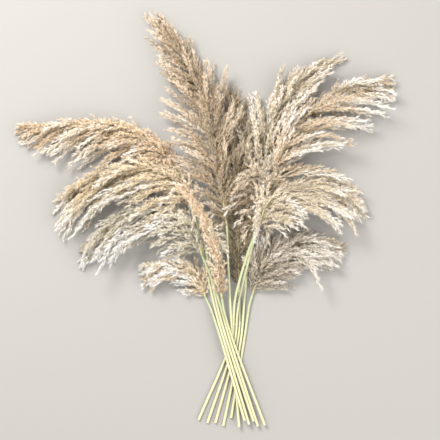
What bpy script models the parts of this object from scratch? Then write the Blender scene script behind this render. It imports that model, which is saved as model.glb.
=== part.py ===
"""A loose bunch of dried pampas grass, lying on a flat surface.

Eleven cut culms lie crossed over one another near their cut ends and fan out
towards eleven plumes. +Y runs from the cut ends to the tallest plume, +Z is up
and the surface is z = 0. Each stalk is one smooth path: its lower stretch is
the culm, a round tapered rod, and its upper stretch is the plume, a closed
flattened body with the plume's outer shape.
"""

import math

import bpy
from mathutils import Vector

CULM_RADIUS = 0.0028
CULM_TOP_RADIUS = 0.0021
CULM_POINTS = 12
CULM_SIDES_RESOLUTION = 2
PLUME_POINTS = 13
PLUME_SIDES = 12
PLUME_BASE_HALF_WIDTH = 0.005
PLUME_TIP_HALF_WIDTH = 0.003
# A plume's half thickness as a share of its half width, once it lies flat.
FLATNESS = 0.55
# What two pieces that touch keep between them.
SEAT_GAP = 0.0005
PATH_SAMPLES = 40

CULM_COLOUR = (0.58, 0.56, 0.30)
CULM_ROUGHNESS = 0.45
PLUME_ROUGHNESS = 0.9

# Culm points are (x, y, z) from the cut end up. Plume points are (x, y, underside
# height, half width) from the plume's base to its tip, all in metres.
STALKS = {
    "far_left": {
        "culm": [(0.090, -0.412, 0.0125), (0.042, -0.250, 0.0157),
                 (0.019, -0.168, 0.0160), (-0.006, -0.050, 0.0165)],
        "plume": [(-0.030, 0.045, 0.006, 0.008), (-0.072, 0.122, 0.0, 0.020),
                  (-0.130, 0.164, 0.0, 0.028), (-0.200, 0.182, 0.0, 0.030),
                  (-0.290, 0.186, 0.0, 0.025), (-0.380, 0.190, 0.0, 0.004)],
        "colour": (0.60, 0.45, 0.26),
    },
    "left_fan": {
        "culm": [(0.099, -0.406, 0.0110), (0.048, -0.250, 0.0157),
                 (0.0250, -0.168, 0.0185), (0.003, -0.060, 0.0260)],
        "plume": [(-0.010, 0.010, 0.030, 0.010), (-0.046, 0.062, 0.030, 0.028),
                  (-0.106, 0.086, 0.010, 0.041), (-0.176, 0.082, 0.0, 0.044),
                  (-0.236, 0.066, 0.0, 0.037), (-0.288, 0.048, 0.0, 0.006)],
        "colour": (0.58, 0.43, 0.21),
    },
    "left_drooping": {
        "culm": [(0.108, -0.416, 0.0095), (0.054, -0.250, 0.0157),
                 (0.031, -0.168, 0.0230), (0.012, -0.110, 0.0310)],
        "plume": [(-0.004, -0.072, 0.034, 0.008), (-0.028, -0.016, 0.034, 0.018),
                  (-0.078, 0.012, 0.022, 0.026), (-0.148, 0.002, 0.004, 0.030),
                  (-0.206, -0.026, 0.0, 0.022), (-0.246, -0.056, 0.0, 0.004)],
        "colour": (0.62, 0.55, 0.40),
    },
    "low_left": {
        "culm": [(0.081, -0.404, 0.0150), (0.036, -0.250, 0.0157),
                 (0.012, -0.176, 0.0120)],
        "plume": [(0.002, -0.156, 0.003, 0.008), (-0.016, -0.124, 0.0, 0.020),
                  (-0.052, -0.102, 0.0, 0.025), (-0.086, -0.098, 0.0, 0.018),
                  (-0.116, -0.092, 0.0, 0.004)],
        "colour": (0.60, 0.50, 0.32),
    },
    "front_narrow": {
        "culm": [(0.122, -0.414, 0.0085), (0.0601, -0.250, 0.0157),
                 (0.038, -0.176, 0.0290)],
        "plume": [(0.035, -0.156, 0.030, 0.006), (0.027, -0.090, 0.042, 0.014),
                  (0.008, -0.024, 0.054, 0.017), (-0.020, 0.030, 0.064, 0.015),
                  (-0.052, 0.066, 0.068, 0.004)],
        "colour": (0.62, 0.43, 0.28),
    },
    "tall_centre": {
        "culm": [(0.070, -0.417, 0.0105), (0.057, -0.250, 0.0092),
                 (0.052, -0.168, 0.0200), (0.047, -0.070, 0.0300)],
        "plume": [(0.045, -0.010, 0.028, 0.010), (0.032, 0.060, 0.030, 0.028),
                  (0.012, 0.150, 0.030, 0.042), (-0.004, 0.230, 0.016, 0.036),
                  (-0.036, 0.310, 0.0, 0.030), (-0.066, 0.370, 0.0, 0.022),
                  (-0.096, 0.416, 0.0, 0.004)],
        "colour": (0.55, 0.43, 0.26),
    },
    "back_centre": {
        "culm": [(0.022, -0.410, 0.0031), (0.066, -0.250, 0.0031),
                 (0.0705, -0.180, 0.0040)],
        "plume": [(0.0700, -0.140, 0.0005, 0.006), (0.0685, -0.060, 0.0, 0.010),
                  (0.0665, 0.020, 0.0, 0.018), (0.064, 0.100, 0.0, 0.024),
                  (0.061, 0.180, 0.0, 0.024), (0.058, 0.230, 0.0, 0.016),
                  (0.054, 0.264, 0.0, 0.004)],
        "colour": (0.42, 0.33, 0.17),
    },
    "upper_right": {
        "culm": [(0.038, -0.416, 0.0031), (0.0725, -0.250, 0.0031),
                 (0.080, -0.168, 0.0045), (0.090, -0.070, 0.0070)],
        "plume": [(0.098, -0.020, 0.001, 0.010), (0.114, 0.070, 0.0, 0.020),
                  (0.134, 0.160, 0.0, 0.024), (0.162, 0.232, 0.0, 0.026),
                  (0.204, 0.288, 0.0, 0.022), (0.246, 0.326, 0.0, 0.005)],
        "colour": (0.62, 0.52, 0.34),
    },
    "right_fan": {
        "culm": [(0.006, -0.410, 0.0031), (0.0595, -0.250, 0.0031),
                 (0.068, -0.168, 0.0150), (0.092, -0.070, 0.0280)],
        "plume": [(0.108, -0.010, 0.028, 0.010), (0.138, 0.074, 0.020, 0.026),
                  (0.176, 0.150, 0.020, 0.038), (0.232, 0.214, 0.006, 0.040),
                  (0.296, 0.264, 0.0, 0.032), (0.380, 0.288, 0.0, 0.005)],
        "colour": (0.60, 0.45, 0.25),
    },
    "right_drooping": {
        "culm": [(-0.012, -0.404, 0.0031), (0.053, -0.250, 0.0031),
                 (0.060, -0.168, 0.0220), (0.082, -0.080, 0.0460)],
        "plume": [(0.104, -0.022, 0.054, 0.009), (0.132, 0.030, 0.058, 0.022),
                  (0.180, 0.054, 0.046, 0.028), (0.240, 0.070, 0.006, 0.032),
                  (0.288, 0.054, 0.0, 0.022), (0.318, 0.034, 0.0, 0.004)],
        "colour": (0.62, 0.50, 0.31),
    },
    "low_right": {
        "culm": [(0.054, -0.400, 0.0031), (0.079, -0.250, 0.0031),
                 (0.090, -0.176, 0.0050)],
        "plume": [(0.097, -0.150, 0.001, 0.007), (0.122, -0.104, 0.0, 0.022),
                  (0.156, -0.072, 0.0, 0.032), (0.202, -0.052, 0.0, 0.024),
                  (0.262, -0.040, 0.0, 0.004)],
        "colour": (0.60, 0.52, 0.38),
    },
}


def clear_scene():
    for obj in list(bpy.data.objects):
        bpy.data.objects.remove(obj)


def new_collection(name):
    collection = bpy.data.collections.new(name)
    bpy.context.scene.collection.children.link(collection)
    return collection


def principled(name, colour, roughness):
    material = bpy.data.materials.new(name)
    material.use_nodes = True
    shader = material.node_tree.nodes["Principled BSDF"]
    shader.inputs["Base Color"].default_value = (*colour, 1.0)
    shader.inputs["Roughness"].default_value = roughness
    shader.inputs["Metallic"].default_value = 0.0
    return material


def smooth(points, share):
    """The value at share 0 to 1 of a Catmull-Rom curve through points of any dimension."""
    spans = len(points) - 1
    i = min(int(share * spans), spans - 1)
    t = share * spans - i
    p1, p2 = points[i], points[i + 1]
    p0 = points[i - 1] if i else [2 * a - b for a, b in zip(p1, p2)]
    p3 = points[i + 2] if i + 2 <= spans else [2 * b - a for a, b in zip(p1, p2)]
    return [
        0.5 * (2 * b + (c - a) * t + (2 * a - 5 * b + 4 * c - d) * t**2 + (3 * b - a - 3 * c + d) * t**3)
        for a, b, c, d in zip(p0, p1, p2, p3)
    ]


def even_steps(path, count):
    """Count rows of the path, evenly spaced along its length in x, y and z."""
    lengths = [0.0]
    for a, b in zip(path, path[1:]):
        lengths.append(lengths[-1] + (Vector(b[:3]) - Vector(a[:3])).length)
    rows, k = [], 0
    for n in range(count):
        target = lengths[-1] * n / (count - 1)
        while k < len(path) - 2 and lengths[k + 1] < target:
            k += 1
        t = (target - lengths[k]) / (lengths[k + 1] - lengths[k])
        rows.append([a + (b - a) * t for a, b in zip(path[k], path[k + 1])])
    return rows


def stalk_paths(stalk):
    """(culm rows, plume rows) of x, y, z, half width, cut from one smooth path at the plume's base."""
    points = [(x, y, z, PLUME_BASE_HALF_WIDTH) for x, y, z in stalk["culm"]]
    points += [(x, y, under + FLATNESS * half, half) for x, y, under, half in stalk["plume"]]
    spans = len(points) - 1
    split = len(stalk["culm"]) / spans
    culm = [smooth(points, split * n / PATH_SAMPLES) for n in range(PATH_SAMPLES + 1)]
    plume = [smooth(points, split + (1 - split) * n / PATH_SAMPLES) for n in range(PATH_SAMPLES + 1)]
    base, before = Vector(culm[-1][:3]), Vector(culm[-2][:3])
    culm[-1][:3] = base + (before - base).normalized() * SEAT_GAP
    for row in culm:
        row[2] = max(row[2], CULM_RADIUS + SEAT_GAP / 2)
    for row in plume:
        row[2] = max(row[2], FLATNESS * row[3])
    return even_steps(culm, CULM_POINTS), even_steps(plume, PLUME_POINTS)


def curve_object(name, rows, radii, collection, material):
    """A tube object along the rows, with a radius for each and closed ends."""
    curve = bpy.data.curves.new(name, "CURVE")
    curve.dimensions = "3D"
    curve.twist_mode = "Z_UP"
    spline = curve.splines.new("POLY")
    spline.points.add(len(rows) - 1)
    for point, row, radius in zip(spline.points, rows, radii):
        point.co = (*row[:3], 1.0)
        point.radius = radius
    curve.use_fill_caps = True
    curve.materials.append(material)
    obj = bpy.data.objects.new(name, curve)
    collection.objects.link(obj)
    return obj


def add_culm(name, rows, collection):
    """The bare cut stalk: a round rod that thins towards the plume."""
    taper = [1 - (1 - CULM_TOP_RADIUS / CULM_RADIUS) * n / (CULM_POINTS - 1) for n in range(CULM_POINTS)]
    material = principled("dried_culm_" + name, CULM_COLOUR, CULM_ROUGHNESS)
    obj = curve_object("stem_" + name, rows, taper, collection, material)
    obj.data.bevel_depth = CULM_RADIUS
    obj.data.bevel_resolution = CULM_SIDES_RESOLUTION
    return obj


def add_plume(name, rows, colour, profile, collection):
    """The flower head: a flattened body, full in the middle and drawn out to its tip."""
    half_widths = [max(row[3], PLUME_TIP_HALF_WIDTH) for row in rows]
    material = principled("plume_silk_" + name, colour, PLUME_ROUGHNESS)
    obj = curve_object("plume_" + name, rows, half_widths, collection, material)
    obj.data.bevel_mode = "OBJECT"
    obj.data.bevel_object = profile
    return obj


def plume_profile(collection):
    """The guide that gives a plume its flat oval section, one unit in half width."""
    curve = bpy.data.curves.new("plume_profile", "CURVE")
    curve.dimensions = "2D"
    spline = curve.splines.new("POLY")
    spline.points.add(PLUME_SIDES - 1)
    for n, point in enumerate(spline.points):
        angle = -2 * math.pi * (n + 0.5) / PLUME_SIDES
        point.co = (math.cos(angle), FLATNESS * math.sin(angle), 0.0, 1.0)
    spline.use_cyclic_u = True
    obj = bpy.data.objects.new("plume_profile", curve)
    obj.hide_render = True
    obj.display_type = "WIRE"
    collection.objects.link(obj)
    return obj


def main():
    clear_scene()
    bunch = new_collection("pampas_grass_bunch")
    profile = plume_profile(new_collection("guides"))
    for name, stalk in STALKS.items():
        culm_rows, plume_rows = stalk_paths(stalk)
        add_culm(name, culm_rows, bunch)
        add_plume(name, plume_rows, stalk["colour"], profile, bunch)


main()
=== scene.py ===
"""A loose bunch of dried pampas grass, lying on a plain surface.

Every stalk is a bare culm and a plume. The centre lines, widths and lengths come
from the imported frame. A plume is grown on its centre line: the rachis carries
sprays, a spray carries branchlets, and a branchlet carries silky spikelets.
"""

import math
from collections import namedtuple

import bmesh
import bpy
import numpy as np
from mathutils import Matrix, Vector


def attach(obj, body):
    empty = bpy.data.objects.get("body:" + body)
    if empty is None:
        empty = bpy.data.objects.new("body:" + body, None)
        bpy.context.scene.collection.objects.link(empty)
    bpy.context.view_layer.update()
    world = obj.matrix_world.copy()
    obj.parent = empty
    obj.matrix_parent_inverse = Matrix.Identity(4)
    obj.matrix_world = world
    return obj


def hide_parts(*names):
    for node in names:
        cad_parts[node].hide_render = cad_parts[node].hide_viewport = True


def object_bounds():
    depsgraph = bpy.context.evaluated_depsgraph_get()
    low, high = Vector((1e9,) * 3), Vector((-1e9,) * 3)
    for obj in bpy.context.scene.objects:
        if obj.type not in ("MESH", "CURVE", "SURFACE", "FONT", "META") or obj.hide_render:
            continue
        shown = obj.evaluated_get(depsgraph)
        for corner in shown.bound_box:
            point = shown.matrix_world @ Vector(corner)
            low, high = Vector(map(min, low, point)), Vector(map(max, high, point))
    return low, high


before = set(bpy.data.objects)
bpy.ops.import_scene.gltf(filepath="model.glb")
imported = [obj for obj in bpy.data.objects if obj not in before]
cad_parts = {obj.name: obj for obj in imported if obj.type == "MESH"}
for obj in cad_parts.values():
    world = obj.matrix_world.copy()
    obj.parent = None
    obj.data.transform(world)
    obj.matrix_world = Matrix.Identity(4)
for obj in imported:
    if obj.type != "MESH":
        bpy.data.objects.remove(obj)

CAD_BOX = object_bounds()

bl_info = {
    "name": "Dried Pampas Bunch",
    "version": (1, 0, 0),
    "blender": (4, 5, 0),
    "location": "View3D > Sidebar > Pampas",
    "description": "Lays a bunch of dried pampas grass on a plain surface",
    "category": "Object",
}

BODY = "root"
BAKE_MAP = "OFBake"

# A CAD body's end caps meet its sides at a sharper angle than its sides meet each other.
RIM_ANGLE = math.radians(55)
# Points of a CAD body that lie nearer than this are one point.
WELD = 0.00001
# Samples along one stalk's smooth line, and where a rachis ends for its last hair to fit.
LINE_SAMPLES = 80
TIP_SHARE = 0.965

UP = np.array([0.0, 0.0, 1.0])
# Nothing goes lower than this, so the hair lies on the surface.
FLOOR_GAP = 0.0006
# How far hair may stand proud of the whole bunch's CAD box, sideways and upwards.
PROUD_SIDE = 0.008
PROUD_TOP = 0.011
# The tallest hair is pressed down over this depth, so that the bunch's top stays loose.
PRESS_DEPTH = 0.034
PRESS_ROOM = 0.007

# Places across the colour map: the rachis and branches take a strip at its left
# edge, and hair runs from the plume's heart to its outer tips over the rest.
AXIS_STRIP = 0.07
HAIR_START = 0.10
HAIR_END = 0.98
# Every place keeps this far from the map's edge.
MAP_MARGIN = 0.002

# Down, for hair that dried while its plume stood up: towards the cut ends.
HANG = np.array([0.0, -1.0, 0.0])
# The reach of a plume's longest sprays as a share of its own length, and how hard
# their weight pulls them down.
FULLNESS = {"sleek": 0.12, "medium": 0.25, "full": 0.32, "ample": 0.36, "wide": 0.42}
DROOP = {"stiff": 0.15, "soft": 0.45, "heavy": 0.85}
# How far a plume's sprays stand out to their side.
SPREAD = {"close": 0.45, "open": 0.65, "broad": 1.05}

# How each plume carries its hair. Where its sprays go follows from the way its
# rachis runs. Strays are loose sprays that hang out of the rest. The colours are
# those of the hair at the plume's heart, in its body and at its tips. The heart's
# golden brown is partly the florets' own colour and partly painted shade inside
# the plume; the tips' near-white is partly the hair's own colour and partly a
# painted highlight.
Habit = namedtuple("Habit", "slot sprays strays hair spread droop heart body tips")
HABITS = {
    "far_left": Habit(
        "golden_plume", 86, 0, "medium", "open", "heavy", "#b68848", "#d8ba88", "#fdf6ec"),
    "left_fan": Habit(
        "golden_plume", 72, 0, "wide", "open", "heavy", "#a07634", "#dfc590", "#fffdf8"),
    # left_drooping: its bluish-white tips are painted cool light from the left.
    "left_drooping": Habit(
        "cream_plume", 86, 1, "ample", "open", "heavy", "#a8986a", "#dacfb2", "#fcfdff"),
    # low_left: its bluish-white tips are painted cool light from the left.
    "low_left": Habit(
        "golden_plume", 104, 0, "wide", "broad", "soft", "#c0984e", "#e6cd9c", "#fafcff"),
    "front_narrow": Habit(
        "golden_plume", 84, 0, "sleek", "close", "stiff", "#a2825a", "#c4a680", "#ecdcc6"),
    "tall_centre": Habit(
        "cream_plume", 88, 0, "medium", "broad", "soft", "#786034", "#a2865e", "#e2d2be"),
    "back_centre": Habit(
        "olive_plume", 92, 0, "medium", "broad", "stiff", "#6d5b30", "#917c58", "#d6c8b0"),
    "upper_right": Habit(
        "cream_plume", 84, 0, "full", "open", "soft", "#a8946a", "#d8c8aa", "#fdf7ee"),
    "right_fan": Habit(
        "golden_plume", 70, 0, "full", "open", "heavy", "#a4804a", "#e0c69c", "#fffdfa"),
    "right_drooping": Habit(
        "cream_plume", 88, 1, "ample", "open", "heavy", "#ac9464", "#e6d4b2", "#fffdfa"),
    "low_right": Habit(
        "cream_plume", 104, 1, "wide", "broad", "soft", "#8a7853", "#bdad94", "#f6f2ec"),
}


# ---- Colours and nodes -------------------------------------------------------------


def linear(code):
    """An sRGB hex colour as the linear values that shaders take."""
    channels = [int(code[i:i + 2], 16) / 255 for i in (1, 3, 5)]
    return tuple(c / 12.92 if c <= 0.04045 else ((c + 0.055) / 1.055) ** 2.4 for c in channels)


# A Mix node's colours go by number, because its other inputs have the same names.
MIX_A = 6
MIX_B = 7
MIX_RESULT = 2


def add_node(tree, kind, settings=None, links=None):
    """Add a node, give it its settings, input values and colour stops, and link its inputs."""
    new = tree.nodes.new(kind)
    for name, value in (settings or {}).items():
        if name == "stops":
            ramp = new.color_ramp
            while len(ramp.elements) < len(value):
                ramp.elements.new(0.5)
            for element, (place, colour) in zip(ramp.elements, value):
                element.position = place
                element.color = (*linear(colour), 1.0)
        elif isinstance(name, int) or name in new.inputs:
            new.inputs[name].default_value = value
        else:
            setattr(new, name, value)
    for name, (source, output) in (links or {}).items():
        tree.links.new(source.outputs[output], new.inputs[name])
    return new


def new_material(name):
    """An empty material and its node tree."""
    material = bpy.data.materials.new(name)
    material.use_nodes = True
    material.node_tree.nodes.clear()
    return material, material.node_tree


def silky_floret(name, heart, body, tips, straw):
    """Dried silky florets: matt and golden at the heart, paler and silkier at the hair tips.

    Across the map the colour runs from straw-coloured branches through the heart to
    the outer hair; the heart's golden brown is partly painted shade inside the plume.
    Fine stripes across it give each lock of hair a tint of its own, and along the map
    every lock pales to its tip, partly the hair's own paler tips and partly a painted
    highlight, which gives the plume its frosting.
    """
    material, tree = new_material(name)
    uv = add_node(tree, "ShaderNodeUVMap", {"uv_map": BAKE_MAP})
    place = add_node(tree, "ShaderNodeSeparateXYZ", links={0: (uv, 0)})
    middle = (HAIR_START + HAIR_END) / 2
    tone = add_node(tree, "ShaderNodeValToRGB", {"stops": [
        (0.0, straw), (AXIS_STRIP, straw), (HAIR_START, heart),
        (middle - 0.14, body), (middle + 0.03, body), (HAIR_END - 0.17, tips),
    ]}, {0: (place, "X")})
    lock = add_node(tree, "ShaderNodeTexNoise", {
        "noise_dimensions": "1D", "Scale": 150.0, "Detail": 2.0, "Roughness": 0.7,
    }, {"W": (place, "X")})
    tint = add_node(tree, "ShaderNodeValToRGB", {"stops": [
        (0.32, "#c9b28c"), (0.48, "#f5efe4"), (0.62, "#ffffff"),
    ]}, {0: (lock, 0)})
    tinted = add_node(tree, "ShaderNodeMix", {
        "data_type": "RGBA", "blend_type": "MULTIPLY", 0: 1.0,
    }, {MIX_A: (tone, 0), MIX_B: (tint, 0)})
    # Each lock pales to the tip colour along its length: partly the hair's own paler tips, partly a painted
    # highlight.
    pale = add_node(tree, "ShaderNodeMapRange", {
        "From Min": 0.15, "From Max": 0.95, "To Min": 0.0, "To Max": 0.70,
    }, {0: (place, "Y")})
    pale_tips_and_highlight = add_node(tree, "ShaderNodeMix", {
        "data_type": "RGBA", MIX_B: (*linear(tips), 1.0),
    }, {0: (pale, 0), MIX_A: (tinted, MIX_RESULT)})
    silk = add_node(tree, "ShaderNodeMapRange", {"To Min": 0.85, "To Max": 0.55}, {0: (place, "Y")})
    shader = add_node(tree, "ShaderNodeBsdfPrincipled", {
        "IOR": 1.5, "Specular IOR Level": 0.35, "Sheen Weight": 0.25, "Sheen Roughness": 0.4,
    }, {"Base Color": (pale_tips_and_highlight, MIX_RESULT), "Roughness": (silk, 0)})
    add_node(tree, "ShaderNodeOutputMaterial", links={0: (shader, 0)})
    return material


def dried_culm(name, straw, green, node_brown):
    """A dried grass culm: a smooth waxy skin that catches a soft line of light.

    Lengthwise fibres streak it, it is greener towards the plume, and it darkens in
    weathered patches where leaf sheaths were stripped.
    """
    material, tree = new_material(name)
    uv = add_node(tree, "ShaderNodeUVMap", {"uv_map": BAKE_MAP})
    place = add_node(tree, "ShaderNodeSeparateXYZ", links={0: (uv, 0)})
    base = add_node(tree, "ShaderNodeValToRGB", {"stops": [
        (0.0, straw), (0.55, straw), (1.0, green),
    ]}, {0: (place, "Y")})
    lengthwise = add_node(tree, "ShaderNodeMapping", {"Scale": (26.0, 2.0, 1.0)}, {0: (uv, 0)})
    fibres = add_node(tree, "ShaderNodeTexNoise", {
        "Scale": 1.0, "Detail": 4.0, "Roughness": 0.6,
    }, {"Vector": (lengthwise, 0)})
    streak = add_node(tree, "ShaderNodeValToRGB", {"stops": [
        (0.34, "#c3b893"), (0.52, "#f3efdf"), (0.70, "#ffffff"),
    ]}, {0: (fibres, 0)})
    streaked = add_node(tree, "ShaderNodeMix", {
        "data_type": "RGBA", "blend_type": "MULTIPLY", 0: 1.0,
    }, {MIX_A: (base, 0), MIX_B: (streak, 0)})
    broad = add_node(tree, "ShaderNodeMapping", {"Scale": (1.5, 9.0, 1.0)}, {0: (uv, 0)})
    patches = add_node(tree, "ShaderNodeTexNoise", {"Scale": 1.0, "Detail": 3.0}, {"Vector": (broad, 0)})
    worn = add_node(tree, "ShaderNodeMapRange", {
        "From Min": 0.56, "From Max": 0.72, "To Min": 0.0, "To Max": 0.6,
    }, {0: (patches, 0)})
    weathered = add_node(tree, "ShaderNodeMix", {
        "data_type": "RGBA", MIX_B: (*linear(node_brown), 1.0),
    }, {0: (worn, 0), MIX_A: (streaked, MIX_RESULT)})
    wax = add_node(tree, "ShaderNodeMapRange", {
        "From Min": 0.3, "From Max": 0.7, "To Min": 0.38, "To Max": 0.6,
    }, {0: (fibres, 0)})
    relief = add_node(tree, "ShaderNodeBump", {
        "Strength": 0.35, "Distance": 0.0003,
    }, {"Height": (fibres, 0)})
    shader = add_node(tree, "ShaderNodeBsdfPrincipled", {"IOR": 1.5}, {
        "Base Color": (weathered, MIX_RESULT), "Roughness": (wax, 0), "Normal": (relief, 0),
    })
    add_node(tree, "ShaderNodeOutputMaterial", links={0: (shader, 0)})
    return material


def plain_surface(name, colour):
    """Matt painted board: an even, pale ground that only takes soft shadows."""
    material, tree = new_material(name)
    shader = add_node(tree, "ShaderNodeBsdfPrincipled", {
        "Base Color": (*colour, 1.0), "Roughness": 0.9,
    })
    add_node(tree, "ShaderNodeOutputMaterial", links={0: (shader, 0)})
    return material


# ---- Lines read from the frame -------------------------------------------------------


def rings_of(node, start):
    """Centres and half widths of a CAD body's rings, from the end that is nearer to start."""
    bm = bmesh.new()
    bm.from_mesh(bpy.data.objects[node].data)
    bmesh.ops.remove_doubles(bm, verts=bm.verts, dist=WELD)
    bm.verts.index_update()
    bm.normal_update()
    rim = {e for e in bm.edges if len(e.link_faces) == 2 and e.calc_face_angle() > RIM_ANGLE}
    first = min((v for e in rim for v in e.verts), key=lambda v: (v.co - start).length)
    ring, edge = {first}, [first]
    while edge:
        vert = edge.pop()
        near = {e.other_vert(vert) for e in vert.link_edges if e in rim} - ring
        ring |= near
        edge += near
    seen, centres, widths, count = set(ring), [], [], len(ring)
    while ring:
        if len(ring) != count:
            raise RuntimeError(f"{node} isn't a row of like rings")
        # A set has no order of its own, and a sum in a changing order rounds differently.
        in_order = sorted(ring, key=lambda vert: vert.index)
        centre = sum((v.co for v in in_order), Vector()) / count
        centres.append(centre)
        widths.append(max((v.co - centre).length for v in ring))
        ring = {e.other_vert(v) for v in ring for e in v.link_edges} - seen
        seen |= ring
    bm.free()
    return np.array(centres), np.array(widths)


def smooth_line(points, samples):
    """Samples of the Catmull-Rom curve through points, each of any dimension."""
    ends = np.vstack([2 * points[0] - points[1], points, 2 * points[-1] - points[-2]])
    place = np.linspace(0, len(points) - 1, samples)
    span = np.minimum(place.astype(int), len(points) - 2)
    t = (place - span)[:, None]
    a, b, c, d = (ends[span + k] for k in range(4))
    steady = 2 * b + (c - a) * t
    bending = (2 * a - 5 * b + 4 * c - d) * t**2
    return 0.5 * (steady + bending + (3 * b - a - 3 * c + d) * t**3)


def stalk_lines(name):
    """Centres and half widths of the culm's rings, then of the plume's, each from its lower end up."""
    far_below = Vector((0.0, CAD_BOX[0][1] * 2, 0.0))
    culm, culm_radii = rings_of("stem_" + name, far_below)
    plume, half_widths = rings_of("plume_" + name, Vector(culm[-1]))
    return culm, culm_radii, plume, half_widths


# ---- Making and finishing pieces -----------------------------------------------------


def deselect():
    """Select nothing, so that the next operator takes only what it is given."""
    for obj in bpy.context.selected_objects:
        obj.select_set(False)


def finish_piece(piece, name, replaced, material):
    """Name a finished piece, dress it, hang it on the body and hide the CAD part that it replaces."""
    piece.name = name
    piece.data.name = name
    piece.data.materials.clear()
    piece.data.materials.append(material)
    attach(piece, BODY)
    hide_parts(replaced)


def unit(vectors):
    """Vectors at length one."""
    return vectors / np.maximum(np.linalg.norm(vectors, axis=-1, keepdims=True), 1e-12)


def around(directions, angles, flatness=1.0):
    """Unit vectors square to directions, at angles round them; flatness squashes them towards level."""
    level = unit(np.cross(np.broadcast_to(UP, directions.shape), directions))
    rise = unit(np.cross(directions, level))
    return unit(np.cos(angles)[..., None] * level + flatness * np.sin(angles)[..., None] * rise)


# ---- Culms ---------------------------------------------------------------------------


# The first section lies this far above the cut end.
CUT_LENGTH = 0.0015
# Where the first node lies, as a share of the spacing between nodes.
FIRST_NODE = 0.55
# A node's outline: places along it in half widths, and how far it stands out there.
NODE_OUTLINE = ((-1.0, 0.0), (-0.5, 0.8), (0.0, 1.0), (0.5, -0.15), (2.0, 0.0))
# Culm faces that meet at less than this look round.
SMOOTH_ANGLE = math.radians(40)


def straight_culm(length, foot_radius, top_radius, settings):
    """One culm along +X from the origin, extruded station by station, as the active object."""
    deselect()
    bpy.ops.mesh.primitive_circle_add(
        vertices=settings.sides, radius=foot_radius, fill_type="NGON",
        location=(0, 0, 0), rotation=(0, math.pi / 2, 0))
    piece = bpy.context.object
    bpy.ops.object.transform_apply(location=True, rotation=True, scale=True)
    stations = culm_stations(length, foot_radius, top_radius, settings)
    bpy.ops.object.mode_set(mode="EDIT")
    bpy.ops.mesh.select_all(action="SELECT")
    before_x, before_radius = 0.0, foot_radius
    for x, radius in stations:
        bpy.ops.mesh.extrude_region_move(TRANSFORM_OT_translate={"value": (x - before_x, 0, 0)})
        grow = radius / before_radius
        bpy.ops.transform.resize(value=(1, grow, grow), center_override=(x, 0, 0))
        before_x, before_radius = x, radius
    bpy.ops.mesh.select_all(action="SELECT")
    bpy.ops.mesh.normals_make_consistent(inside=False)
    bpy.ops.object.mode_set(mode="OBJECT")
    cut_face(piece, settings)
    map_culm(piece, length)
    return piece


def culm_stations(length, foot_radius, top_radius, settings):
    """(x, radius) from just past the cut end to the top, with a low swelling at each node."""
    half = settings.node_width / 2
    places = [(CUT_LENGTH, 0.0)]
    node = settings.node_spacing * FIRST_NODE
    while node < length - 4 * half:
        places += [(node + k * half, height * settings.node_swelling) for k, height in NODE_OUTLINE]
        node += settings.node_spacing
    places.append((length, 0.0))
    filled = []
    for (x, bump), (next_x, _) in zip(places, places[1:] + [places[-1]]):
        filled.append((x, bump))
        gaps = int((next_x - x) / settings.station_gap)
        filled += [(x + (next_x - x) * k / (gaps + 1), 0.0) for k in range(1, gaps + 1)]
    return [(x, foot_radius + (top_radius - foot_radius) * x / length + bump) for x, bump in filled]


def cut_face(piece, settings):
    """Sink the soft pith a little inside the hard skin at the cut end."""
    bpy.ops.object.mode_set(mode="EDIT")
    bpy.ops.mesh.select_all(action="DESELECT")
    bm = bmesh.from_edit_mesh(piece.data)
    end = min(bm.faces, key=lambda f: f.calc_center_median().x)
    end.select_set(True)
    bmesh.update_edit_mesh(piece.data)
    bpy.ops.mesh.inset(thickness=settings.skin_thickness, depth=0)
    bpy.ops.mesh.inset(thickness=settings.skin_thickness / 3, depth=-settings.pith_depth)
    bpy.ops.object.mode_set(mode="OBJECT")


def map_culm(piece, length):
    """Unroll the culm: round it from left to right, along it from bottom to top."""
    layer = piece.data.uv_layers.new(name=BAKE_MAP)
    for face in piece.data.polygons:
        turns = []
        for vert in face.vertices:
            co = piece.data.vertices[vert].co
            turns.append(math.atan2(co.z, co.y) / math.tau % 1.0)
        # A side face over the seam runs on past the map's right edge, and is cut off there.
        wraps = max(turns) - min(turns) > 0.5
        for loop, turn, vert in zip(face.loop_indices, turns, face.vertices):
            if wraps and turn < 0.5 and abs(face.normal.x) < 0.7:
                turn += 1.0
            layer.data[loop].uv = (min(turn, 1.0), piece.data.vertices[vert].co.x / length)


def lay_along(piece, points):
    """Bend a piece that lies along +X onto a line of points."""
    curve = bpy.data.curves.new("guide", "CURVE")
    curve.dimensions = "3D"
    curve.twist_mode = "Z_UP"
    spline = curve.splines.new("POLY")
    spline.points.add(len(points) - 1)
    for place, point in zip(spline.points, points):
        place.co = (*point, 1.0)
    guide = bpy.data.objects.new("guide", curve)
    bpy.context.scene.collection.objects.link(guide)
    deselect()
    piece.select_set(True)
    bpy.context.view_layer.objects.active = piece
    bpy.ops.object.modifier_add(type="CURVE")
    bend = piece.modifiers[-1]
    bend.object = guide
    bend.deform_axis = "POS_X"
    bpy.ops.object.modifier_apply(modifier=bend.name)
    bpy.data.objects.remove(guide)
    bpy.ops.object.shade_smooth_by_angle(angle=SMOOTH_ANGLE)


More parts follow.
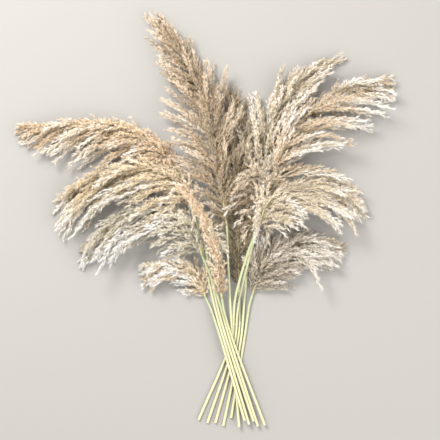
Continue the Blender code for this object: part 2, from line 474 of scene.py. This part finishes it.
class PampasCulmSettings(bpy.types.PropertyGroup):
    """Sizes of the culms"""
    sides: bpy.props.IntProperty(
        name="Sides", description="Flat sides round a culm", default=14, min=6)
    node_spacing: bpy.props.FloatProperty(
        name="Node spacing", description="From one node of a culm to the next", default=0.135,
        unit="LENGTH")
    node_swelling: bpy.props.FloatProperty(
        name="Node swelling", description="How far a node stands out", default=0.00035,
        unit="LENGTH")
    node_width: bpy.props.FloatProperty(
        name="Node width", description="Length of a node along the culm", default=0.005, unit="LENGTH")
    station_gap: bpy.props.FloatProperty(
        name="Station gap", description="Longest stretch between two sections", default=0.012,
        unit="LENGTH")
    skin_thickness: bpy.props.FloatProperty(
        name="Skin", description="Hard skin round the pith at the cut end", default=0.0006, unit="LENGTH")
    pith_depth: bpy.props.FloatProperty(
        name="Pith depth", description="How far the pith has shrunk in at the cut", default=0.0008,
        unit="LENGTH")


class PAMPAS_OT_culms(bpy.types.Operator):
    """Model the eleven bare culms and lay each one along its line"""
    bl_idname = "pampas.culms"
    bl_label = "Culms"

    def execute(self, context):
        settings = context.scene.pampas_culms
        material = dried_culm("dried grass culm", "#c8c9ac", "#abba9a", "#a8966c")
        for name in HABITS:
            rings, radii, _, _ = stalk_lines(name)
            line = smooth_line(rings, LINE_SAMPLES)
            length = float(np.linalg.norm(np.diff(line, axis=0), axis=1).sum())
            piece = straight_culm(length, float(radii[0]), float(radii[-1]), settings)
            lay_along(piece, line)
            finish_piece(piece, name + "_culm", "stem_" + name, material)
        return {"FINISHED"}


# ---- Plumes --------------------------------------------------------------------------


# A floret as shares of its spikelet: its length, its middle, and its pointed foot.
FLORET_LENGTH = 0.55
FLORET_MIDDLE = 0.42
FLORET_FOOT = 0.14
SPIKELET_SEED = 3

# From one spray to the next round the rachis: the golden angle spreads them evenly.
GOLDEN_ANGLE = math.radians(137.5)
# Towards a plume's tip its sprays point ahead more, and spread and sink less.
AHEAD_AT_FOOT = 0.55
AHEAD_GAIN = 0.75
SPREAD_LOSS = 0.68
DROOP_LOSS = 0.6
# How full a plume is at its foot, the shares of the rachis by which it is full and
# from which it slims, and what it has lost at its tip.
FOOT_FULLNESS = 0.50
FULL_BY = 0.22
SLIM_FROM = 0.45
TIP_LOSS = 0.72
# How lobes and single sprays differ in length, and how far they turn off their way.
LOBE_SIZES = (0.86, 1.10)
SPRAY_SIZES = (0.86, 1.06)
LOBE_TURN = 0.05
SPRAY_TURN = 0.10
# Strays leave well to the side that faces down, between these shares of the rachis.
STRAY_SIDE = 0.3
STRAY_STRETCH = (0.15, 0.6)
STRAY_LENGTH = 1.3
# A spray's stalk keeps this far off the surface, and rises this far over the plume at most.
STALK_LOWEST = 0.003
STALK_ROOM = 0.004
# A spray is never shortened to less than this share.
LEAST_SPRAY = 0.12
# Stretches of the rachis overlap by a third, and end a little before its tip.
STRETCH_OVERLAP = 1.3
STRETCH_END = 0.985

# Branchlets on the rachis are closer and shorter than those on a spray.
CLOSE_GAP = 0.5
CLOSE_SIZE = 0.6
# A spray of this length carries branchlets of full size, and others follow it within limits.
FULL_SPRAY = 0.08
BRANCHLET_SIZES = (0.36, 1.15)
# What a branchlet at a spray's tip has lost of its length.
BRANCHLET_LOSS = 0.76

# What makes hair paler: its distance from the rachis, its place on its branchlet and
# its place up the plume. The darker hair near the rachis is partly painted shade
# inside the plume.
OUT_AWAY = 0.80
OUT_ALONG = 0.20
OUT_UP = 0.20
# How lobes, sprays and spikelets differ in colour, and how much a spikelet's locks do.
LOBE_TONE = 0.15
SPRAY_TONE = 0.09
SPIKELET_TONE = 0.08
LOCK_TONE = 0.012


def model_spikelet(settings):
    """One spikelet along +X at unit length: a slim floret in a spray of silky hair locks.

    Returns its points and its triangles.
    """
    deselect()
    bpy.ops.mesh.primitive_cone_add(
        vertices=3, radius1=settings.floret_radius, radius2=0, depth=FLORET_LENGTH,
        location=(FLORET_MIDDLE, 0, 0), rotation=(0, math.pi / 2, 0))
    floret = bpy.context.object
    bpy.ops.object.transform_apply(location=True, rotation=True, scale=True)
    bpy.ops.object.mode_set(mode="EDIT")
    bpy.ops.mesh.select_all(action="DESELECT")
    bm = bmesh.from_edit_mesh(floret.data)
    min(bm.faces, key=lambda f: f.calc_center_median().x).select_set(True)
    bmesh.update_edit_mesh(floret.data)
    bpy.ops.mesh.extrude_region_move(TRANSFORM_OT_translate={"value": (-FLORET_FOOT, 0, 0)})
    bpy.ops.mesh.merge(type="CENTER")
    bpy.ops.object.mode_set(mode="OBJECT")
    parts = [floret]
    rng = np.random.default_rng(SPIKELET_SEED)
    # The locks stand round the floret and differ in splay and length.
    for n in range(settings.hair_locks):
        turn = math.tau * (n + 0.3 * rng.random()) / settings.hair_locks
        splay = settings.hair_splay * (0.35 + 0.9 * rng.random())
        length = 0.72 + 0.28 * rng.random()
        aside = math.sin(splay)
        axis = Vector((math.cos(splay), aside * math.cos(turn), aside * math.sin(turn)))
        bpy.ops.mesh.primitive_cone_add(
            vertices=3, radius1=settings.lock_radius, radius2=0, depth=length,
            location=axis * length / 2, rotation=axis.to_track_quat("Z", "Y").to_euler())
        parts.append(bpy.context.object)
    for part in parts:
        part.select_set(True)
    bpy.context.view_layer.objects.active = floret
    bpy.ops.object.join()
    bpy.ops.object.transform_apply(location=True, rotation=True, scale=True)
    bpy.ops.object.modifier_add(type="TRIANGULATE")
    bpy.ops.object.modifier_apply(modifier=floret.modifiers[-1].name)
    mesh = floret.data
    points = np.array([v.co for v in mesh.vertices])
    triangles = np.array([p.vertices for p in mesh.polygons])
    bpy.data.objects.remove(floret)
    bpy.data.meshes.remove(mesh)
    return points, triangles


def tubes(lines, radii, sides):
    """Closed tapered tubes along lines of shape (count, samples, 3), with radii (count, samples).

    Returns each tube's points, the triangles that all share, and how far along the
    tube and how far round it each point lies.
    """
    count, samples, _ = lines.shape
    ahead = unit(np.gradient(lines, axis=1))
    turns = np.arange(sides) * 2 * math.pi / sides
    ring = np.stack([around(ahead, np.full((count, samples), turn)) for turn in turns], axis=2)
    points = (lines[:, :, None, :] + ring * radii[:, :, None, None]).reshape(count, -1, 3)
    triangles = []
    for k in range(samples - 1):
        for n in range(sides):
            a, b = k * sides + n, k * sides + (n + 1) % sides
            c, d = a + sides, b + sides
            triangles += [(a, b, d), (a, d, c)]
    for n in range(1, sides - 1):
        last = (samples - 1) * sides
        triangles += [(0, n + 1, n), (last, last + n, last + n + 1)]
    share = np.repeat(np.linspace(0, 1, samples), sides)
    turn = np.tile(np.linspace(0, 1, sides), samples)
    return points, np.array(triangles), share, turn


class Heap:
    """Collects copies of small meshes and turns them into one mesh."""

    def __init__(self):
        self.points, self.triangles, self.places, self.count = [], [], [], 0

    def add(self, points, triangles, across, along):
        """Points (copies, n, 3) that share triangles, with each point's place on the colour map."""
        points = move_inside(points)
        copies, each, _ = points.shape
        offsets = self.count + each * np.arange(copies)
        self.triangles.append((triangles[None] + offsets[:, None, None]).reshape(-1, 3))
        self.points.append(points.reshape(-1, 3))
        self.places.append(np.stack([np.broadcast_to(across, (copies, each)),
                                     np.broadcast_to(along, (copies, each))], axis=-1).reshape(-1, 2))
        self.count += copies * each

    def add_tubes(self, lines, radii, sides):
        """Stalks along lines, on the map's strip for the rachis and branches."""
        points, triangles, along, turn = tubes(lines, radii, sides)
        self.add(points, triangles, AXIS_STRIP * turn, along)

    def mesh(self, name):
        """Everything collected so far as one mesh with its colour map."""
        points = np.concatenate(self.points)
        triangles = np.concatenate(self.triangles)
        places = np.clip(np.concatenate(self.places), MAP_MARGIN, 1 - MAP_MARGIN)
        mesh = bpy.data.meshes.new(name)
        mesh.vertices.add(len(points))
        mesh.vertices.foreach_set("co", points.astype(np.float32).ravel())
        mesh.loops.add(triangles.size)
        mesh.loops.foreach_set("vertex_index", triangles.astype(np.int32).ravel())
        mesh.polygons.add(len(triangles))
        mesh.polygons.foreach_set("loop_start", np.arange(0, triangles.size, 3, dtype=np.int32))
        layer = mesh.uv_layers.new(name=BAKE_MAP)
        layer.data.foreach_set("uv", places[triangles.ravel()].astype(np.float32).ravel())
        mesh.update(calc_edges=True)
        mesh.shade_smooth()
        return mesh


def move_inside(points):
    """Move each copy, unbent, to lie on the surface and within the bunch's own size."""
    low, high = (np.array(corner) for corner in CAD_BOX)
    low[:2] -= PROUD_SIDE
    high[:2] += PROUD_SIDE
    high[2] += PROUD_TOP
    low[2] = FLOOR_GAP
    short = np.maximum(low - points.min(axis=1), 0)
    over = np.maximum(points.max(axis=1) - high, 0)
    return points + (short - over)[:, None]


def lee_side(left):
    """1 where a rachis's left side faces down, -1 where its right side does, 0 where it is upright."""
    return np.clip(1.5 * left @ HANG, -1, 1)


def spray_ways(habit, ahead, left, side, shares, settings):
    """The way each spray curves to: ahead, out to its side and, with its weight, down."""
    swing = side * (1 - settings.nod) + settings.nod * lee_side(left)
    forward = AHEAD_AT_FOOT + AHEAD_GAIN * shares
    spread = SPREAD[habit.spread] * (1 - SPREAD_LOSS * shares)
    weight = DROOP[habit.droop] * (1 - DROOP_LOSS * shares)
    return unit(forward[:, None] * ahead + (spread * swing)[:, None] * left + weight[:, None] * HANG)


def fullness_at(shares):
    """How full a plume is at shares of its rachis, against its fullest stretch."""
    opening = np.clip(shares / FULL_BY, 0, 1)
    closing = np.clip((shares - SLIM_FROM) / (1 - SLIM_FROM), 0, 1)
    opened = FOOT_FULLNESS + (1 - FOOT_FULLNESS) * np.sin(opening * math.pi / 2)
    return opened * (1 - TIP_LOSS * closing**1.6)


def curve_over(start, leave, way, lengths, settings):
    """Sprays that leave one way and curve over to another: their points and directions."""
    samples = settings.spray_samples
    t = np.linspace(0, 1, samples)[None, :, None]
    bend = settings.arch * t**0.9 / (settings.arch * t**0.9 + 1 - t + 1e-6)
    directions = unit(leave[:, None] * (1 - bend) + way[:, None] * bend)
    steps = directions * (lengths / (samples - 1))[:, None, None]
    return start[:, None] + np.cumsum(steps, axis=1) - steps[:, :1], directions


def draw_together(points, lobe, settings):
    """Draw each lobe's sprays towards the middle of their ends."""
    t = np.linspace(0, 1, points.shape[1])[None, :, None]
    ends = points[:, -1]
    middles = np.stack([ends[lobe == k].mean(axis=0) for k in lobe])
    return points + settings.lobe_pull * t**2 * (middles - ends)[:, None]


def press_down(points):
    """Lower what stands tall, the more the taller it is, to end below the bunch's own height."""
    ceiling = CAD_BOX[1][2] + PROUD_TOP - PRESS_ROOM
    height = points[..., 2]
    over = np.maximum(height - ceiling + PRESS_DEPTH, 0)
    pressed = points.copy()
    pressed[..., 2] = height - over + PRESS_DEPTH * (1 - np.exp(-over / PRESS_DEPTH))
    return pressed


def grow_sprays(habit, line, widths, settings, rng):
    """Curved sprays up the rachis: points (sprays, samples, 3), directions, lengths, shares, lobes."""
    count = habit.sprays
    shares = (np.arange(count) + rng.uniform(0.1, 0.9, count)) / count
    shares = 0.01 + 0.97 * shares
    place = shares * (len(line) - 1)
    heading = unit(np.gradient(line, axis=0))
    start = sample(line, place)
    ahead = unit(sample(heading, place))
    turn = np.arange(count) * GOLDEN_ANGLE + rng.uniform(-0.4, 0.4, count)
    out = around(ahead, turn, settings.plume_flatness)
    left = around(ahead, np.zeros(count))
    side = np.clip(1.35 * np.cos(turn), -1, 1)
    way = spray_ways(habit, ahead, left, side, shares, settings)
    run = np.linalg.norm(np.diff(line, axis=0), axis=1).sum()
    reach = run * FULLNESS[habit.hair] * (1 + settings.unevenness * side * lee_side(left))
    # Neighbouring sprays on one side hang together as a lobe.
    lobes = max(int(run / settings.lobe_spacing), 2)
    lobe = (shares * lobes).astype(int) * 2 + (np.cos(turn) > 0)
    lobe_size = rng.uniform(*LOBE_SIZES, 2 * lobes)[lobe]
    lengths = reach * fullness_at(shares) * lobe_size * rng.uniform(*SPRAY_SIZES, count)
    way = way + rng.normal(0, LOBE_TURN, (2 * lobes, 3))[lobe] + rng.normal(0, SPRAY_TURN, way.shape)
    first, last = STRAY_STRETCH
    hanging = (side * lee_side(left) > STRAY_SIDE) & (shares > first) & (shares < last)
    for k in rng.choice(np.flatnonzero(hanging), habit.strays, replace=False):
        lengths[k] = STRAY_LENGTH * reach[k]
        way[k] = unit(ahead[k] + 2 * HANG)
        lobe[k] = 2 * lobes
    # In a plume that lies down, sprays rise half as much, and leave up or down a little.
    way = unit(way * (1, 1, 0.5) + out * (0, 0, 0.35))
    angle = settings.spray_angle * rng.uniform(0.6, 1.3, count)[:, None]
    leave = unit(np.cos(angle) * ahead + np.sin(angle) * out)
    points, directions = curve_over(start, leave, way, lengths, settings)
    points = draw_together(points, lobe, settings)
    kept = shorten(start, points)
    lengths = lengths * kept
    points = start[:, None] + (points - start[:, None]) * kept[:, None, None]
    top = sample(line[:, 2] + settings.plume_flatness * widths, place)[:, None]
    points[..., 2] = np.clip(points[..., 2], STALK_LOWEST, top + STALK_ROOM)
    points = press_down(points)
    near, near_ways, near_shares = close_stretches(line, settings)
    near_lengths = np.linalg.norm(np.diff(near, axis=1), axis=2).sum(axis=1)
    return (np.concatenate([points, near]), np.concatenate([directions, near_ways]),
            np.concatenate([lengths, near_lengths]), np.concatenate([shares, near_shares]),
            np.concatenate([lobe, 2 * lobes + 1 + np.arange(len(near))]))


def shorten(start, points):
    """Shares of full length at which each spray, with its hair, still lies inside the bunch's box."""
    low, high = (np.array(corner) for corner in CAD_BOX)
    reach = points - start[:, None]
    with np.errstate(divide="ignore", invalid="ignore"):
        ahead = np.where(reach > 0, (high - start)[:, None] / reach, np.inf)
        behind = np.where(reach < 0, (low - start)[:, None] / reach, np.inf)
    sideways = np.minimum(ahead, behind)[..., :2]
    return np.clip(sideways.min(axis=(1, 2)), LEAST_SPRAY, 1.0)


def close_stretches(line, settings):
    """Overlapping stretches of the rachis that carry hair as sprays do: points, directions, shares."""
    count, samples = settings.close_stretches, settings.spray_samples
    first = np.arange(count) / count
    share = first[:, None] + np.linspace(0, STRETCH_OVERLAP / count, samples)[None]
    place = np.clip(share, 0, STRETCH_END) * (len(line) - 1)
    points = sample(line, place)
    return points, unit(sample(unit(np.gradient(line, axis=0)), place)), first


def sample(rows, place):
    """Rows read at fractional places; place may have any shape."""
    low = np.clip(place.astype(int), 0, len(rows) - 2)
    t = np.clip(place - low, 0, 1)
    t = t[..., None] if rows.ndim > 1 else t
    return rows[low] * (1 - t) + rows[low + 1] * t


def grow_branchlets(sprays, directions, lengths, on_rachis, settings, rng):
    """Short side branches on every spray, at acute angles, shorter towards the spray's tip.

    The rachis itself carries them closer, and over its top, so that hair covers it.
    Returns each one's spray and share of it, its foot, the way it leaves, the
    spray's own way and its length.
    """
    gap = np.where(on_rachis, CLOSE_GAP, 1.0) * settings.branchlet_gap
    per_spray = np.maximum(np.round(lengths / gap).astype(int), 5)
    owner = np.repeat(np.arange(len(lengths)), per_spray)
    order = np.concatenate([np.arange(n) for n in per_spray])
    share = (order + rng.uniform(0, 1, len(order))) / per_spray[owner]
    share = 0.04 + 0.96 * share
    place = share * (sprays.shape[1] - 1)
    low = np.clip(place.astype(int), 0, sprays.shape[1] - 2)
    t = (place - low)[:, None]
    start = sprays[owner, low] * (1 - t) + sprays[owner, low + 1] * t
    ahead = unit(directions[owner, low] * (1 - t) + directions[owner, low + 1] * t)
    turn = rng.uniform(0, 1, len(owner)) * np.where(on_rachis[owner], math.pi, math.tau)
    out = around(ahead, turn, 0.8)
    angle = settings.branchlet_angle * rng.uniform(0.45, 1.35, len(owner))[:, None]
    leave = unit(np.cos(angle) * ahead + np.sin(angle) * out)
    shrunk = 1.0 - BRANCHLET_LOSS * share**1.4
    size = settings.branchlet_length * shrunk * rng.uniform(0.6, 1.15, len(owner))
    size *= np.where(on_rachis[owner], CLOSE_SIZE, np.clip(lengths[owner] / FULL_SPRAY, *BRANCHLET_SIZES))
    return owner, share, start, leave, ahead, size


def grow_spikelets(start, leave, ahead, size, settings, rng):
    """Spikelets along every branchlet: each one's branchlet, share of it, place, direction and scale."""
    per_branch = np.maximum(np.round(size / settings.spikelet_gap).astype(int), 2)
    owner = np.repeat(np.arange(len(size)), per_branch)
    order = np.concatenate([np.arange(n) for n in per_branch])
    t = ((order + rng.uniform(0.2, 0.8, len(order))) / per_branch[owner])[:, None]
    curl = 0.5 * (ahead - leave)[owner]
    place = press_down(start[owner] + size[owner, None] * (leave[owner] * t + curl * t**2))
    heading = unit(leave[owner] + 2 * curl * t)
    out = around(heading, rng.uniform(0, math.tau, len(owner)))
    angle = settings.spikelet_angle * rng.uniform(0.2, 1.3, len(owner))[:, None]
    heading = unit(np.cos(angle) * heading + np.sin(angle) * out)
    scale = settings.spikelet_length * rng.uniform(0.75, 1.2, len(owner))
    return owner, t[:, 0], place, heading, scale


def turn_and_place(points, place, heading, level, scale):
    """Copies of points, turned so that +X follows heading and +Y follows level."""
    third = np.cross(heading, level)
    turned = (points[None, :, :1] * heading[:, None] + points[None, :, 1:2] * level[:, None]
              + points[None, :, 2:] * third[:, None])
    return turned * scale[:, None, None] + place[:, None]


def grow_plume(name, habit, spikelet, settings, seed):
    """The whole plume as one mesh: rachis, sprays, branchlets and spikelets."""
    rng = np.random.default_rng(seed)
    _, culm_radii, rings, half_widths = stalk_lines(name)
    kept = int(LINE_SAMPLES * TIP_SHARE)
    line = smooth_line(rings, LINE_SAMPLES)[:kept]
    widths = smooth_line(half_widths[:, None], LINE_SAMPLES)[:kept, 0]
    heading = unit(np.gradient(line, axis=0))
    sideways = around(heading, np.zeros(len(line)))
    share = np.linspace(0, 1, len(line))
    # A nodding rachis lies on its upper side, and its hair hangs below it.
    eased = -settings.rachis_shift * lee_side(sideways) * np.sin(math.pi * share**0.8)
    rachis = line + sideways * (eased * widths)[:, None]
    heap = Heap()

    thickness = culm_radii[-1] * (1 - share) ** 2.2 * 0.95 + settings.thread_radius
    heap.add_tubes(rachis[None, ::2], thickness[None, ::2], 6)

    sprays, directions, lengths, shares, lobe = grow_sprays(habit, rachis, widths, settings, rng)
    taper = np.linspace(1.0, 0.35, sprays.shape[1])[None] * settings.spray_radius
    heap.add_tubes(sprays, np.repeat(taper, len(sprays), axis=0), 3)

    on_rachis = np.arange(len(sprays)) >= habit.sprays
    owner, spot, start, leave, ahead, size = grow_branchlets(
        sprays, directions, lengths, on_rachis, settings, rng)
    t = np.linspace(0, 1, 3)[None, :, None]
    twigs = start[:, None] + size[:, None, None] * (
        leave[:, None] * t + 0.5 * (ahead - leave)[:, None] * t**2)
    taper = np.linspace(1.0, 0.4, 3)[None] * settings.thread_radius
    heap.add_tubes(press_down(twigs), np.repeat(taper, len(twigs), axis=0), 3)

    branch, along, place, heading, scale = grow_spikelets(start, leave, ahead, size, settings, rng)
    spray = owner[branch]
    level = around(heading, rng.uniform(0, math.tau, len(heading)))
    points, triangles = spikelet
    hair = turn_and_place(points, place, heading, level, scale)
    # The heart lies near the rachis, and its darkness is partly painted shade inside
    # the plume; each spray and each lock then leans darker or paler.
    away = spot[branch] * (lengths / lengths[~on_rachis].max())[spray]
    away = np.where(on_rachis[spray], 0.0, away)
    outness = OUT_AWAY * away**0.7 + OUT_ALONG * along + OUT_UP * shares[spray]
    lean = rng.normal(0, LOBE_TONE, lobe.max() + 1)[lobe[spray]]
    lean += rng.normal(0, SPRAY_TONE, len(sprays))[spray]
    lean += rng.normal(0, SPIKELET_TONE, len(branch))
    tone = HAIR_START + (HAIR_END - HAIR_START) * np.clip(outness + lean, 0.01, 0.99)
    across = tone[:, None] + LOCK_TONE * points[None, :, 1] / max(points[:, 1].max(), 1e-6)
    heap.add(hair, triangles, np.clip(across, HAIR_START, 1.0), np.clip(points[:, 0], 0, 1))
    return heap.mesh(name + "_plume")


class PampasPlumeSettings(bpy.types.PropertyGroup):
    """Sizes of the plumes and how their hair hangs"""
    spikelet_length: bpy.props.FloatProperty(
        name="Spikelet length", description="Length of a spikelet with its hair", default=0.0122,
        unit="LENGTH")
    spikelet_gap: bpy.props.FloatProperty(
        name="Spikelet gap", description="Between spikelets along a branchlet", default=0.0044,
        unit="LENGTH")
    spikelet_angle: bpy.props.FloatProperty(
        name="Spikelet angle", description="How far spikelets lean off their branchlet",
        default=math.radians(24), subtype="ANGLE")
    floret_radius: bpy.props.FloatProperty(
        name="Floret radius", description="Half width of a floret, as a share of the spikelet's length",
        default=0.05, subtype="FACTOR")
    lock_radius: bpy.props.FloatProperty(
        name="Lock radius", description="Half width of a lock of hair, as a share of the spikelet's length",
        default=0.034, subtype="FACTOR")
    hair_locks: bpy.props.IntProperty(
        name="Hair locks", description="Locks of silky hair in a spikelet", default=5, min=3)
    hair_splay: bpy.props.FloatProperty(
        name="Hair splay", description="How far a lock stands off the spikelet",
        default=math.radians(22), subtype="ANGLE")
    branchlet_length: bpy.props.FloatProperty(
        name="Branchlet length", description="Longest branchlet on a spray", default=0.036, unit="LENGTH")
    branchlet_gap: bpy.props.FloatProperty(
        name="Branchlet gap", description="Between branchlets along a spray", default=0.0070, unit="LENGTH")
    branchlet_angle: bpy.props.FloatProperty(
        name="Branchlet angle", description="How far branchlets leave their spray",
        default=math.radians(24), subtype="ANGLE")
    spray_angle: bpy.props.FloatProperty(
        name="Spray angle", description="How far sprays leave the rachis", default=math.radians(30),
        subtype="ANGLE")
    spray_samples: bpy.props.IntProperty(
        name="Spray points", description="Points along a spray", default=10, min=4)
    arch: bpy.props.FloatProperty(
        name="Arch", description="How soon a spray curves over", default=2.2, min=0.1)
    nod: bpy.props.FloatProperty(
        name="Nod", description="How far hair swings over to the side that faces down", default=0.4,
        subtype="FACTOR")
    unevenness: bpy.props.FloatProperty(
        name="Unevenness", description="How much longer the hair is on the side that faces down",
        default=0.28, subtype="FACTOR")
    rachis_shift: bpy.props.FloatProperty(
        name="Rachis shift", description="How far a nodding rachis lies to its upper side, in half widths",
        default=0.45, min=0)
    lobe_spacing: bpy.props.FloatProperty(
        name="Lobe spacing", description="From one lobe of hair to the next along the rachis",
        default=0.021, unit="LENGTH")
    lobe_pull: bpy.props.FloatProperty(
        name="Lobe pull", description="How far a lobe's sprays draw together at their tips",
        default=0.12, subtype="FACTOR")
    close_stretches: bpy.props.IntProperty(
        name="Close stretches", description="Stretches of the rachis that carry hair of their own",
        default=12, min=1)
    spray_radius: bpy.props.FloatProperty(
        name="Spray radius", description="Half width of a spray's stalk", default=0.0005, unit="LENGTH")
    thread_radius: bpy.props.FloatProperty(
        name="Thread radius", description="Half width of a branchlet's stalk", default=0.00025,
        unit="LENGTH")
    plume_flatness: bpy.props.FloatProperty(
        name="Flatness", description="Height of a lying plume as a share of its width", default=0.6,
        subtype="FACTOR")


class PAMPAS_OT_plumes(bpy.types.Operator):
    """Model one spikelet and grow the eleven plumes from it"""
    bl_idname = "pampas.plumes"
    bl_label = "Plumes"

    def execute(self, context):
        settings = context.scene.pampas_plumes
        spikelet = model_spikelet(settings)
        for seed, (name, habit) in enumerate(HABITS.items()):
            mesh = grow_plume(name, habit, spikelet, settings, seed)
            piece = bpy.data.objects.new(name + "_plume", mesh)
            context.scene.collection.objects.link(piece)
            material = silky_floret("silky floret " + name.replace("_", " "),
                                    habit.heart, habit.body, habit.tips, "#b9b58c")
            finish_piece(piece, name + "_plume", "plume_" + name, material)
        return {"FINISHED"}


# ---- Stage ---------------------------------------------------------------------------


# Both lights are large and stand well back, so that shadows stay soft.
KEY_PLACE = (-1.0, 1.3, 1.9)
KEY_SIZE = 0.9
FILL_PLACE = (1.6, -0.9, 1.6)
FILL_SIZE = 1.8
# The width of a full-frame sensor in millimetres, and how far the camera sees.
SENSOR_WIDTH = 36.0
FARTHEST = 50.0


class PampasStageSettings(bpy.types.PropertyGroup):
    """The surface, the lights and the view"""
    floor_colour: bpy.props.FloatVectorProperty(
        name="Floor colour", description="Colour of the plain surface", default=linear("#918e89"),
        subtype="COLOR", size=3, min=0, max=1)
    floor_size: bpy.props.FloatProperty(
        name="Floor size", description="Side of the plain surface", default=12.0, unit="LENGTH")
    camera_height: bpy.props.FloatProperty(
        name="Camera height", description="Height of the camera over the surface", default=3.2,
        unit="LENGTH")
    view_width: bpy.props.FloatProperty(
        name="View width", description="What the camera takes in, across", default=0.88, unit="LENGTH")
    view_offset: bpy.props.FloatProperty(
        name="View offset", description="Middle of the view, to the right of the bunch's middle",
        default=0.031, unit="LENGTH")
    key_power: bpy.props.FloatProperty(
        name="Key light", description="Power of the large soft light", default=92.0, unit="POWER")
    fill_power: bpy.props.FloatProperty(
        name="Fill light", description="Power of the light from the other side", default=34.0,
        unit="POWER")
    sky: bpy.props.FloatProperty(
        name="Sky", description="Strength of the even light from all round", default=1.2, min=0)


def soft_light(name, power, size, place, target):
    """A square lamp at place that faces target."""
    deselect()
    bpy.ops.object.light_add(type="AREA", location=place)
    lamp = bpy.context.object
    lamp.name = name
    lamp.data.energy = power
    lamp.data.size = size
    lamp.rotation_euler = (Vector(target) - Vector(place)).to_track_quat("-Z", "Y").to_euler()


class PAMPAS_OT_stage(bpy.types.Operator):
    """Lay the plain surface, hang the lights and look straight down on the bunch"""
    bl_idname = "pampas.stage"
    bl_label = "Stage"

    def execute(self, context):
        settings = context.scene.pampas_stage
        low, high = CAD_BOX
        middle = [(a + b) / 2 for a, b in zip(low, high)]
        deselect()
        bpy.ops.mesh.primitive_plane_add(size=settings.floor_size, location=(middle[0], middle[1], 0))
        floor = context.object
        floor.name = "floor"
        floor.data.materials.append(plain_surface("matt painted board", settings.floor_colour))

        soft_light("key", settings.key_power, KEY_SIZE, KEY_PLACE, middle)
        soft_light("fill", settings.fill_power, FILL_SIZE, FILL_PLACE, middle)
        world = bpy.data.worlds.new("studio")
        world.use_nodes = True
        sky = world.node_tree.nodes["Background"]
        sky.inputs["Color"].default_value = (1.0, 1.0, 1.0, 1.0)
        sky.inputs["Strength"].default_value = settings.sky
        context.scene.world = world

        deselect()
        view_x = middle[0] + settings.view_offset
        bpy.ops.object.camera_add(location=(view_x, middle[1], settings.camera_height), rotation=(0, 0, 0))
        camera = context.object
        camera.name = "camera"
        camera.data.sensor_width = SENSOR_WIDTH
        distance = settings.camera_height - middle[2]
        camera.data.lens = camera.data.sensor_width * distance / settings.view_width
        camera.data.clip_end = FARTHEST
        context.scene.camera = camera
        context.scene.view_settings.view_transform = "Standard"
        return {"FINISHED"}


# ---- Add-on --------------------------------------------------------------------------


class PAMPAS_PT_panel(bpy.types.Panel):
    """The bunch's operators and the sizes that they use"""
    bl_label = "Pampas Bunch"
    bl_idname = "PAMPAS_PT_panel"
    bl_space_type = "VIEW_3D"
    bl_region_type = "UI"
    bl_category = "Pampas"

    def draw(self, context):
        for operator, settings in STEPS:
            box = self.layout.box()
            box.operator(operator.bl_idname)
            group = getattr(context.scene, settings)
            for name in group.__annotations__:
                box.prop(group, name)


# What main() and the panel run, in this order, with each one's settings.
STEPS = (
    (PAMPAS_OT_stage, "pampas_stage"),
    (PAMPAS_OT_culms, "pampas_culms"),
    (PAMPAS_OT_plumes, "pampas_plumes"),
)
GROUPS = {
    "pampas_stage": PampasStageSettings,
    "pampas_culms": PampasCulmSettings,
    "pampas_plumes": PampasPlumeSettings,
}
CLASSES = (*GROUPS.values(), *(operator for operator, _ in STEPS), PAMPAS_PT_panel)


def register():
    for cls in CLASSES:
        bpy.utils.register_class(cls)
    for name, group in GROUPS.items():
        setattr(bpy.types.Scene, name, bpy.props.PointerProperty(type=group))


def unregister():
    for name in GROUPS:
        delattr(bpy.types.Scene, name)
    for cls in reversed(CLASSES):
        bpy.utils.unregister_class(cls)


def main():
    register()
    bpy.ops.pampas.stage()
    bpy.ops.pampas.culms()
    bpy.ops.pampas.plumes()


if __name__ == "__main__":
    main()
